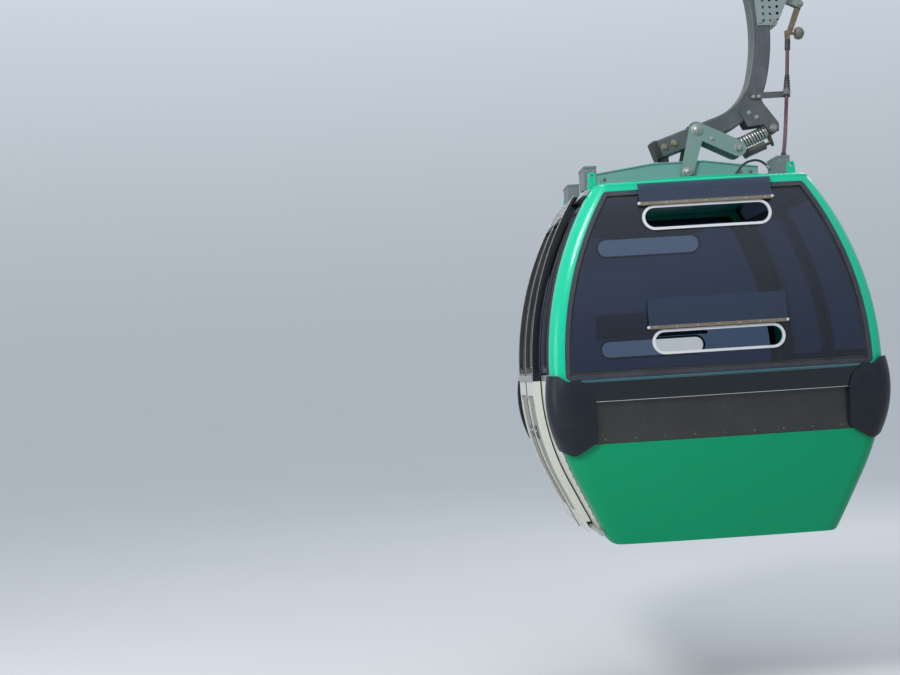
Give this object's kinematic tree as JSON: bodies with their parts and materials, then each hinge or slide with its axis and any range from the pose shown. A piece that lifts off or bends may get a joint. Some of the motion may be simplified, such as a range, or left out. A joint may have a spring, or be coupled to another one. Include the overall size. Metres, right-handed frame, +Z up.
{
  "type": "cable car cabin with hanger and rope grip",
  "caption": "Enclosed passenger cabin on a bowed tube hanger and rope grip, with glazed ends, vent flaps, corner bumpers and a pair of sliding doors.",
  "frame": {"origin": "on the rope's axis, in the middle of the grip's jaws", "axes": "+Y along the rope, +Z up, +X towards the side that the hanger bows out to; the doors are on -X"},
  "size_m": [1.8531, 1.888, 4.064],
  "materials": {
    "green_shell": "gloss",
    "belt_dark": "gloss",
    "bumper_slate": "matt",
    "tinted_glass": "clear",
    "rubber_seal": "matt",
    "side_panel": "satin",
    "trim_white": "satin",
    "hinge_bronze": "brushed",
    "roof_metal": "satin",
    "box_grey": "satin",
    "hanger_paint": "satin",
    "crank_paint": "satin",
    "spring_dark": "satin",
    "zinc": "satin",
    "black_rubber": "matt",
    "sheath": "satin",
    "floor_grey": "matt",
    "seat_shell": "satin",
    "roller_nylon": "satin",
    "rail_alloy": "satin",
    "wheel_rubber": "matt"
  },
  "bodies": {
    "grip": {"grip_body": "zinc", "grip_jaw": "zinc", "grip_springs": "spring_dark", "grip_lever": "zinc", "friction_plate": "zinc", "swing_pin": "zinc"},
    "cabin": {"end_hoop_front": "green_shell", "end_hoop_rear": "green_shell", "end_panel_front": "green_shell", "end_panel_rear": "green_shell", "belt_beam_front": "belt_dark", "belt_beam_rear": "belt_dark", "bumpers_front": "bumper_slate", "bumpers_rear": "bumper_slate", "end_window_front": "tinted_glass", "end_window_rear": "tinted_glass", "bench_front": "seat_shell", "bench_rear": "seat_shell", "side_frame_left": "side_panel", "side_frame_right": "side_panel", "side_windows": "tinted_glass", "window_gaskets": "rubber_seal", "vent_trims": "trim_white", "vent_flaps": "tinted_glass", "vent_hinges": "hinge_bronze", "roof_panel": "green_shell", "roof_boxes": "box_grey", "roof_beam": "roof_metal", "roof_hose": "black_rubber", "floor_pan": "floor_grey", "door_rails": "rail_alloy", "hanger_arm": "hanger_paint", "hanger_head": "hanger_paint", "hanger_stops": "black_rubber", "crank_plates": "crank_paint", "crank_pins": "zinc", "suspension_unit": "spring_dark", "damper_bracket": "hanger_paint", "lever_bracket": "crank_paint", "door_lever": "zinc", "cable_guide": "hanger_paint", "door_cable": "sheath"},
    "wheel_front": {"wheel_front": "wheel_rubber"},
    "wheel_rear": {"wheel_rear": "wheel_rubber"},
    "door_front": {"door_leaf_front": "side_panel", "door_glass_front": "tinted_glass", "door_gasket_front": "black_rubber"},
    "door_rear": {"door_leaf_rear": "side_panel", "door_glass_rear": "tinted_glass", "door_gasket_rear": "black_rubber"},
    "lever_roller": {"lever_roller": "roller_nylon"}
  },
  "joints": [
    {"name": "hanger_swing", "type": "hinge", "parent": "grip", "child": "cabin", "pos_m": [0.175, 0, -0.095], "axis": [1, 0, 0], "range_deg": [-34, 34]},
    {"name": "wheel_front_spin", "type": "hinge", "parent": "grip", "child": "wheel_front", "pos_m": [0.15, -0.16, 0.062], "axis": [1, 0, 0], "continuous": true},
    {"name": "wheel_rear_spin", "type": "hinge", "parent": "grip", "child": "wheel_rear", "pos_m": [0.15, 0.16, 0.062], "axis": [1, 0, 0], "continuous": true},
    {"name": "door_rear_slide", "type": "slide", "parent": "cabin", "child": "door_rear", "axis": [0, 1, 0], "range_m": [0, 0.35]},
    {"name": "door_front_slide", "type": "slide", "parent": "cabin", "child": "door_front", "axis": [0, -1, 0], "range_m": [0, 0.35]},
    {"name": "lever_roller_spin", "type": "hinge", "parent": "cabin", "child": "lever_roller", "pos_m": [0.826, 0, -1.009], "axis": [1, 0, 0], "continuous": true}
  ],
  "couplings": [
    {"joint": "door_front_slide", "follows": "door_rear_slide", "ratio": 1}
  ]
}
